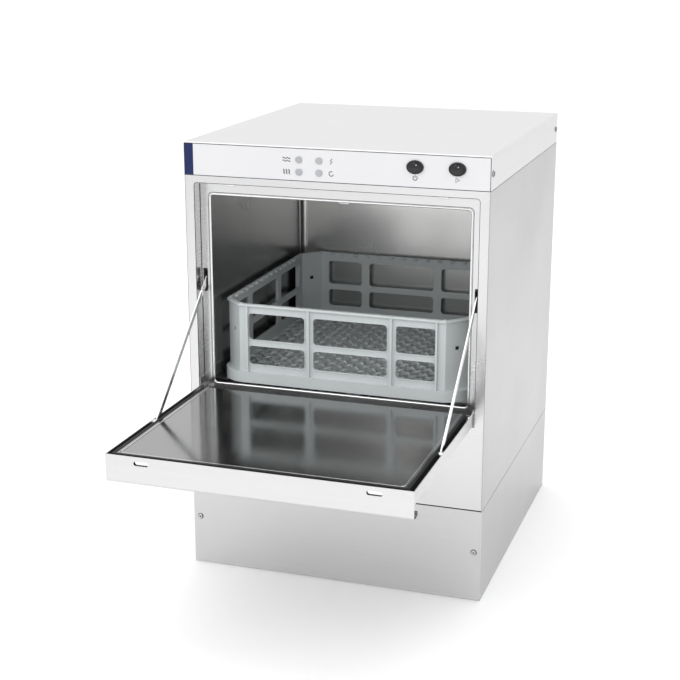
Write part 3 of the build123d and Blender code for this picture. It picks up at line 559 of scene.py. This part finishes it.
def lamp_rings():
    """Thin metal ring around each indicator lamp."""
    margin, bar_radius, steps = 0.5 * MM, 0.55 * MM, 24
    rings = []
    for x in (lamps_low.x + LAMP_RADIUS, lamps_high.x - LAMP_RADIUS):
        for z in (lamps_low.z + LAMP_RADIUS, lamps_high.z - LAMP_RADIUS):
            circle = arc(x, z, LAMP_RADIUS + margin, 0, 2 * math.pi, steps)[:-1]
            rings.append(tube(on_front(circle, front - 0.1 * MM), bar_radius, True, 8, (0, 1, 0)))
    add_piece("lamp_rings", *merged(rings), "arm_steel", "cabinet")


def stroke(path, width, closed=False):
    """Flat printed line on the fascia, along (x, z) points."""
    verts, faces = [], []
    count = len(path)
    y = front - 0.06 * MM
    for i, (x, z) in enumerate(path):
        before, after = neighbours(path, i, closed)
        along = Vector((after[0] - before[0], after[1] - before[1])).normalized()
        side = Vector((-along.y, along.x)) * width / 2
        verts += [Vector((x + side.x, y, z + side.y)), Vector((x - side.x, y, z - side.y))]
    for i in range(count if closed else count - 1):
        j = (i + 1) % count
        faces.append((2 * i, 2 * i + 1, 2 * j + 1, 2 * j))
    return verts, faces


def fascia_marks():
    """Generic pictograms: on/off, start, water level, heating, mains and program running."""
    line, unit = 1.15 * MM, 1.35 * MM
    below_button, beside_lamps = 8.6 * MM, 14 * MM
    marks = []

    def mark(x, z, path, closed=False):
        marks.append(stroke([(x + unit * u, z + unit * v) for u, v in path], line, closed))

    button_low, button_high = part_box("on_off_button")
    x, z = (button_low.x + button_high.x) / 2, button_low.z - below_button
    mark(x, z, arc(0, 0, 2.3, math.radians(130), math.radians(280), 16))
    mark(x, z, [(0.0, 0.4), (0.0, 3.0)])
    button_low, button_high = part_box("start_button")
    x = (button_low.x + button_high.x) / 2
    mark(x, z, [(-1.7, -2.1), (-1.7, 2.1), (2.2, 0.0)], True)

    left, right = lamps_low.x - beside_lamps, lamps_high.x + beside_lamps
    top, bottom = lamps_high.z - LAMP_RADIUS, lamps_low.z + LAMP_RADIUS
    wave = [(k * 0.5, 0.7 * math.sin(k * 0.7)) for k in range(-9, 10)]
    for rise in (-1.5, 1.5):
        mark(left, top, [(u, rise + v) for u, v in wave])
    for shift in (-3.0, 0.0, 3.0):
        mark(left, bottom, [(shift + v, 0.6 * u) for u, v in wave])
    mark(right, top, [(1.0, 3.0), (-1.5, -0.3), (1.3, 0.3), (-1.0, -3.0)])
    mark(right, bottom, arc(0, 0, 2.5, math.radians(60), math.radians(285), 16))
    add_piece("fascia_marks", *merged(marks), "black_plastic", "cabinet")


# ---- Door detail -----------------------------------------------------------------------

def liner_bead():
    """Bright rolled edge inside the rim of the door's inner liner."""
    inset, sunk, radius = 4.3 * MM, 0.75 * MM, 0.9 * MM
    side = liner_high.x - inset
    near, far = liner_high.y, liner_low.y + inset
    corners = ((side, near), (side, far + inset), (side - inset, far),
               (inset - side, far), (-side, far + inset), (-side, near))
    path = [Vector((x, y, liner_high.z - sunk)) for x, y in corners]
    add_piece("liner_bead", *tube(path, radius, False, 10), "bright_steel", "door")


def catch_keepers():
    """Plates behind the two slots in the door's edge."""
    width, height, depth, thick = 26 * MM, 9 * MM, 3.15 * MM, 0.35 * MM
    slot_drop = 9.5 * MM
    catch_low, catch_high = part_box("catch_right")
    x = (catch_low.x + catch_high.x) / 2
    y, z = door_low.y + depth, liner_high.z - slot_drop
    outline = rounded_rectangle(width, height, 3.5 * MM, 6)
    count = len(outline)
    faces = [tuple(range(count)), tuple(range(count, 2 * count))[::-1]]
    faces += [(k, k + count, (k + 1) % count + count, (k + 1) % count) for k in range(count)]
    parts = []
    for sign in (-1, 1):
        placed = [(sign * x + u, z + v) for u, v in outline]
        parts.append((on_front(placed, y) + on_front(placed, y + thick), faces))
    add_piece("catch_keepers", *merged(parts), "bright_steel", "door")


doorway_rim()
rebate_edge(door_high.z - REBATE_SILL_DROP)
seam_shadow_cords()
screw_shadow_rings()
screw_recess_shade()
chamber_beads()
lamp_rings()
fascia_marks()
liner_bead()
catch_keepers()


# ---- Stage -----------------------------------------------------------------------------

def make_floor():
    """Wide pale floor, half a millimetre below the feet."""
    mesh = bpy.data.meshes.new("floor")
    half, drop = 40.0, 0.0005
    corners = [(-half, -half, 0), (half, -half, 0), (half, half, 0), (-half, half, 0)]
    mesh.from_pydata(corners, [], [(0, 1, 2, 3)])
    floor = bpy.data.objects.new("floor", mesh)
    floor.location.z = -drop
    bpy.context.scene.collection.objects.link(floor)
    mesh.materials.append(new_material("floor", (0.97, 0.97, 0.97), 0.0, 0.6)[0])


def area_light(name, place, target, size, power):
    """Rectangular lamp aimed at the target; sizes in metres, power in watts."""
    data = bpy.data.lights.new(name, "AREA")
    data.shape = "RECTANGLE"
    data.size, data.size_y = size
    data.energy = power
    light = bpy.data.objects.new(name, data)
    light.location = place
    light.rotation_euler = (Vector(target) - Vector(place)).to_track_quat("-Z", "Y").to_euler()
    bpy.context.scene.collection.objects.link(light)


def make_world():
    """Even white surroundings, a little brighter overhead."""
    world = bpy.data.worlds.new("studio")
    world.use_nodes = True
    tree = world.node_tree
    background = next(n for n in tree.nodes if n.type == "BACKGROUND")
    background.inputs["Strength"].default_value = 1.1
    coords = tree.nodes.new("ShaderNodeTexCoord")
    split = tree.nodes.new("ShaderNodeSeparateXYZ")
    ramp = tree.nodes.new("ShaderNodeValToRGB")
    tree.links.new(coords.outputs["Generated"], split.inputs[0])
    tree.links.new(split.outputs[2], ramp.inputs[0])
    ramp.color_ramp.elements[0].color = (0.98, 0.98, 0.985, 1.0)
    ramp.color_ramp.elements[1].color = (1.0, 1.0, 1.0, 1.0)
    tree.links.new(ramp.outputs[0], background.inputs["Color"])
    bpy.context.scene.world = world


def make_camera():
    """Lens, place and direction fitted to the cabinet's corners."""
    yaw, pitch = math.radians(-18.414), math.radians(-16.013)
    data = bpy.data.cameras.new("camera")
    data.sensor_width = 36.0
    data.lens = 76.88
    data.clip_end = 200.0
    camera = bpy.data.objects.new("camera", data)
    camera.location = (0.6705, -2.2347, 0.9925)
    camera.rotation_euler = (math.pi / 2 + pitch, 0.0, -yaw)
    bpy.context.scene.collection.objects.link(camera)
    bpy.context.scene.camera = camera


make_floor()
make_world()
make_camera()
area_light("key", (-1.5, -2.4, 2.6), (0, 0, 0.3), (2.4, 2.4), 22)
area_light("right", (2.8, -0.6, 1.6), (0, 0, 0.3), (1.8, 2.4), 8)
area_light("top", (0.0, 0.2, 3.2), (0, 0, 0.3), (3.0, 3.0), 24)
area_light("catch_light", (0.0, -2.95, 1.02), (0.15, -0.25, 0.66), (0.30, 0.42), 6)
bpy.context.scene.view_settings.view_transform = "Standard"
